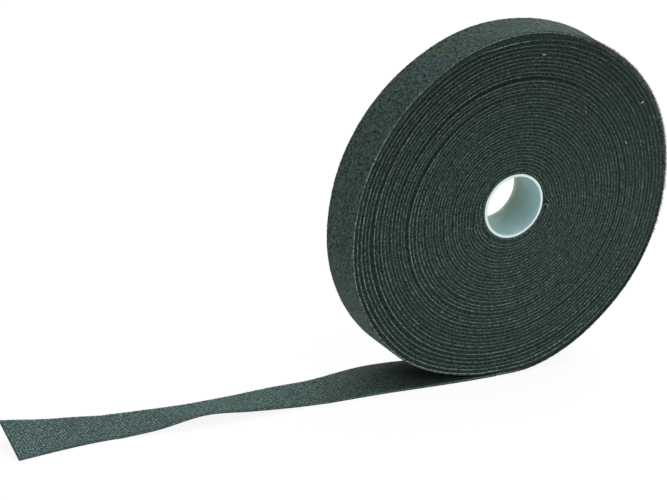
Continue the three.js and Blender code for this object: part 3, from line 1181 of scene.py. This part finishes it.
# %% Curled fibres of the loop pile round the rim
RIM_FIBRES = 8000
RIM_FIBRE_SIZES = (("rim_fibres_long", 0.9, 1.7), ("rim_fibres_short", 0.4, 0.9))
RIM_SPREAD = 0.49  # of the tape's width, to each side
ROOT_HEIGHTS = (-0.06 * MM, 0.04 * MM)
PRESSED_TURNS = (0.88, 0.96)  # the lower left
PRESSED_DEPTH = 0.3 * MM
curl = model_fibre([
    (0, 0, 0.28 * MM), (0.25 * MM, 0.03 * MM, 0.06 * MM),
    (0.60 * MM, 0.14 * MM, 0.02 * MM), (0.85 * MM, 0.34 * MM, 0.20 * MM),
], radius=0.055 * MM)
for name, shortest, longest in RIM_FIBRE_SIZES:
    places = np.stack([
        draw.uniform(WOUND_AT, RIM_END_AT, RIM_FIBRES),
        draw.uniform(-RIM_SPREAD, RIM_SPREAD, RIM_FIBRES) * TAPE_WIDTH,
        draw.uniform(*ROOT_HEIGHTS, RIM_FIBRES),
    ], axis=1)
    turns = turns_of(places)
    pressed = (turns > PRESSED_TURNS[0]) & (turns < PRESSED_TURNS[1])
    places[pressed, 2] += PRESSED_DEPTH
    axes = frames_turned(0, 1, draw.uniform(0, 2 * math.pi, RIM_FIBRES))
    axes[:, :2, :2] *= draw.uniform(shortest, longest, RIM_FIBRES)[:, None, None]
    fibres = copies(name, curl, axes, places)
    lay_piece(fibres)
    dress(fibres, name, PILE_FIBRE)
    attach(fibres, "roll")
print("curled fibres on the rim:", 2 * RIM_FIBRES)

# %% [markdown]
# At the upper right the front edge of the outermost turn is teased up into a fuzz, which
# softens the outline of the roll there; its warm pale grey is painted sheen of fibres against the light.
# It is made of the same fibre as the cut edge, longer, and thickest at one place.

# %% Fuzz along the front edge of the rim
FUZZ = 5500
FUZZ_BAND = 0.3 * MM
FUZZ_DEPTH = 2.2 * MM  # how far in from the rim it reaches
FUZZ_LENGTHS = (0.5 * MM, 1.2 * MM)
FUZZ_TURNS = (0.19, 0.39, 0.46)  # where it starts, is thickest and ends
fuzz_spread = np.interp(FUZZ_TURNS, turn_grid, winding_at)
places = np.stack([
    draw.triangular(*fuzz_spread, FUZZ),
    draw.uniform(0, FUZZ_BAND, FUZZ) - TAPE_WIDTH / 2,
    draw.beta(1, 2, FUZZ) * FUZZ_DEPTH,  # most of it close to the rim
], axis=1)
ways = np.stack([  # along, across and up
    draw.normal(0, 0.7, FUZZ), draw.uniform(-0.8, 0.1, FUZZ), draw.uniform(-1.0, -0.2, FUZZ),
], axis=1)
fuzz = copies("rim_fuzz", spike, frames_along(ways, draw.uniform(*FUZZ_LENGTHS, FUZZ)), places)
lay_piece(fuzz)
dress(fuzz, "rim_fuzz", RIM_FUZZ_SHEEN)
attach(fuzz, "roll")
print("fibres of fuzz:", FUZZ)

# %% [markdown]
# ## The free end
# The tail shows the hook side. Its hooks are small bent posts in staggered rows. One is modelled by
# extruding the top of a post up, over and down. Neighbouring rows face opposite ways, so the hook is
# made once for each.

# %% One hook
HOOK_SIDES = 5
HOOK_RADIUS = 0.22 * MM
POST_DEPTH = 0.1 * MM
# Each step of the bent top: how far over and up in mm, and how much thinner.
HOOK_PATH = ((0.05, 0.25, 0.95), (0.15, 0.10, 1.0), (0.28, -0.02, 0.9), (0.18, -0.12, 0.75))


def model_hook(facing):
    """A bent post on the hook film, leaning along the tape, forwards or back."""
    bpy.ops.object.select_all(action="DESELECT")
    bpy.ops.mesh.primitive_cylinder_add(
        vertices=HOOK_SIDES, radius=HOOK_RADIUS, depth=POST_DEPTH, end_fill_type="NGON",
        location=(0, 0, HOOK_LOW + POST_DEPTH))
    piece = bpy.context.object
    bpy.ops.object.transform_apply(location=True, rotation=True, scale=True)
    select_face(piece, lambda face: face.center.z)
    for over, rise, size in HOOK_PATH:
        step = (facing * over * MM, 0, rise * MM)
        bpy.ops.mesh.extrude_region_move(TRANSFORM_OT_translate={"value": step})
        bpy.ops.transform.resize(value=(size, size, size))
    bpy.ops.object.mode_set(mode="OBJECT")
    return piece


print("steps of a hook:", len(HOOK_PATH))

# %% [markdown]
# Moulded hooks that have been wound up never stand in line, so each one of a field is turned, shifted and
# stretched a little. It also stores how far up its points are and how far along the free end, for the
# finish to read.

# %% Ruffled hooks
HOOK_TIP = 1.45 * MM
HOOK_REACH = TAPE_WIDTH / 2 - 0.5 * MM  # how far out the foot of a hook may be
HOOK_TURN = 0.5  # radians
HOOK_SHIFT = 0.14 * MM
HOOK_HEIGHTS = (0.75, 1.1)


def ruffle(piece, size):
    """Turns, shifts and stretches each hook of a field; a hook has this many points."""
    points = points_of(piece).reshape(-1, size, 3)
    foot = points[:, :1, :2].copy()
    angles = draw.normal(0, HOOK_TURN, len(points))[:, None]
    x, y = np.moveaxis(points[:, :, :2] - foot, 2, 0).copy()
    shift = draw.normal(0, HOOK_SHIFT, (2, len(points), 1))
    foot[:, :, 1] = np.clip(foot[:, :, 1], -HOOK_REACH, HOOK_REACH)
    points[:, :, 0] = foot[:, :, 0] + x * np.cos(angles) - y * np.sin(angles) + shift[0]
    points[:, :, 1] = foot[:, :, 1] + x * np.sin(angles) + y * np.cos(angles) + shift[1]
    rise = (points[:, :, 2] - HOOK_LOW) * draw.uniform(*HOOK_HEIGHTS, len(points))[:, None]
    points[:, :, 2] = HOOK_LOW + rise
    set_points(piece, points)
    store(piece, "tip", np.clip(rise / (HOOK_TIP - HOOK_LOW), 0, 1))
    store(piece, "along", points[:, :, 0] / WOUND_AT)


print(f"hooks shifted by about {HOOK_SHIFT / MM:.2f} mm")

# %% [markdown]
# The Array modifier sets out the rows, first along the tape and then across it, once for the hooks that
# face forwards and once for those that face back. Both sets are joined and ruffled.

# %% A field of hooks
HOOK_CELLS = 15  # along one stretch
HOOK_PITCH = STRETCH / HOOK_CELLS
HOOK_ROWS = 14
HOOK_ROW_KINDS = ((1, 0.25), (-1, 0.75))  # which way a row faces, and its place in a cell


def hook_field(start, end):
    """Staggered rows of hooks on the flat tape, between two places along it."""
    count = max(1, int(round((end - start) / HOOK_PITCH)))
    arrays = (("along", (HOOK_PITCH, 0, 0), count), ("across", (0, HOOK_PITCH, 0), HOOK_ROWS))
    rows = []
    for facing, shift in HOOK_ROW_KINDS:
        hook = model_hook(facing)
        size = len(hook.data.vertices)
        across = (shift - 0.5 - (HOOK_ROWS - 1) / 2) * HOOK_PITCH
        hook.location = (start + shift * HOOK_PITCH, across, 0)
        bpy.ops.object.select_all(action="DESELECT")
        hook.select_set(True)
        bpy.ops.object.transform_apply(location=True, rotation=False, scale=False)
        for name, pitch, number in arrays:
            apply_modifier(
                hook, name, "ARRAY", count=number, use_relative_offset=False,
                use_constant_offset=True, constant_offset_displace=pitch)
        rows.append(hook)
    bpy.ops.object.select_all(action="DESELECT")
    for hook in rows:
        hook.select_set(True)
    bpy.context.view_layer.objects.active = rows[0]
    bpy.ops.object.join()
    ruffle(rows[0], size)
    return rows[0]


print(f"hooks {HOOK_PITCH / MM:.2f} mm apart, in two sets of {HOOK_ROWS} rows")

# %% [markdown]
# One length of the tail has the film, the ground of the hooks, the hooks themselves, the loop pile
# underneath and the fibre ends of both edges, each flat and ready to be laid.

# %% Layers of one length
TAIL_STEPS = 28
TAIL_FRAY = 0.1 * MM
TAIL_WEAR = 0.8
GROUND_INSET = 0.05 * MM
GROUND_DEPTH = 0.25 * MM
TAIL_PILE_INSET = 0.05 * MM
TAIL_FIBRES = 9000  # for each metre of edge
TAIL_FINISHES = [
    ("tail_backing", BACKING_FILM, "tape_edge"),
    ("tail_ground", HOOK_GROUND, "hook_film"),
    ("tail_pile", LOOP_PILE, "loop_pile"),
    ("tail_hooks", HOOK_FILM, "hook_film"),
    ("tail_near_fibres", EDGE_FIBRE, "tape_edge"),
    ("tail_far_fibres", EDGE_FIBRE, "tape_edge"),
]


def tail_layers(start, end):
    """The layers of the flat tail between two places, in the order of their finishes."""
    film = slab(start, end, TAPE_WIDTH, FILM_LOW, FILM_HIGH, TAIL_STEPS, ease=EDGE_EASE)
    fray(film, TAIL_FRAY)
    store(film, "wear", np.full(len(film.data.vertices), TAIL_WEAR))
    ground_width = TAPE_WIDTH - 2 * GROUND_INSET
    ground = slab(start, end, ground_width, HOOK_LOW, HOOK_LOW + GROUND_DEPTH, TAIL_STEPS)
    store(ground, "along", points_of(ground)[:, 0] / WOUND_AT)
    pile = slab(start, end, TAPE_WIDTH - 2 * TAIL_PILE_INSET, PILE_LOW, PILE_HIGH, TAIL_STEPS)
    hooks = hook_field(start, end)
    count = int(TAIL_FIBRES * (end - start))
    near_edge = edge_fibres("near_edge", -1, start, end, count)
    far_edge = edge_fibres("far_edge", 1, start, end, count)
    return film, ground, pile, hooks, near_edge, far_edge


print("layers of a length:", len(TAIL_FINISHES))

# %% [markdown]
# The tail bends at ten creases, so it is made in ten lengths, each with a crease in its middle.

# %% Ten lengths of tail
BLEND_REACH = 0.42 * STRETCH
tail_bodies = ["roll"] + [joint["child"] for joint in frame["joints"]]
joins = [0.0] + [crease - STRETCH / 2 for crease in CREASES[:-1]] + [-TAIL_REACH]
hook_faces = 0
for number, crease in enumerate(CREASES):
    label = f"{number + 1:02d}"
    start = joins[number + 1] + TAIL_REACH
    end = joins[number] + TAIL_REACH
    layers = tail_layers(start, end)
    for piece, (name, material, slot) in zip(layers, TAIL_FINISHES):
        lay_piece(piece)
        dress(piece, f"{name}_{label}", material)
        tail_bodies[number + 1]
        crease + BLEND_REACH
        crease - BLEND_REACH
        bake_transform(piece)
    film, _, pile, hooks, _, _ = layers
    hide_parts(f"tail_loop_{label}")
    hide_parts(f"tail_hook_{label}")
    end - start
    hook_faces += len(hooks.data.polygons)
print("faces of all hooks:", hook_faces)

# %% [markdown]
# ## Lint
# Hooks catch every loose thread. A few short white ones are stuck to the side of the roll. They are
# thick fibres, each turned at random in the plane of the side. When they are copied, the three models
# that the fibres came from are cleared away.

# %% Lint on the side of the roll
LINT_SPOTS = [  # right of the roll's axis and above it, in mm, and how large
    (57.6, 37.2, 1.1), (52.5, 20.2, 1.0), (6.4, 65.1, 1.1), (59.6, 20.4, 0.6), (30.5, 37.3, 0.5),
    (-40, 38, 0.4), (-30, -42, 0.35), (25, -50, 0.35)]
thread = model_fibre([
    (0, 0, 0), (0.25 * MM, -0.10 * MM, 0.30 * MM), (0.60 * MM, -0.12 * MM, 0.45 * MM),
    (0.95 * MM, -0.04 * MM, 0.75 * MM),
], radius=0.24 * MM)
lint_places = np.array([(x * MM, -TAPE_WIDTH / 2, AXIS_HEIGHT + z * MM) for x, z, _ in LINT_SPOTS])
lint_sizes = np.array([size for _, _, size in LINT_SPOTS])
axes = frames_turned(0, 2, draw.uniform(0, 2 * math.pi, len(LINT_SPOTS)))
axes *= lint_sizes[:, None, None]
lint = copies("lint", thread, axes, lint_places)
dress(lint, "lint", LINT)
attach(lint, "roll")
for model in (spike, curl, thread):
    bpy.data.objects.remove(model)
print("threads of lint:", len(LINT_SPOTS))

# %% [markdown]
# The dressed object may stand only a little proud of the solids.
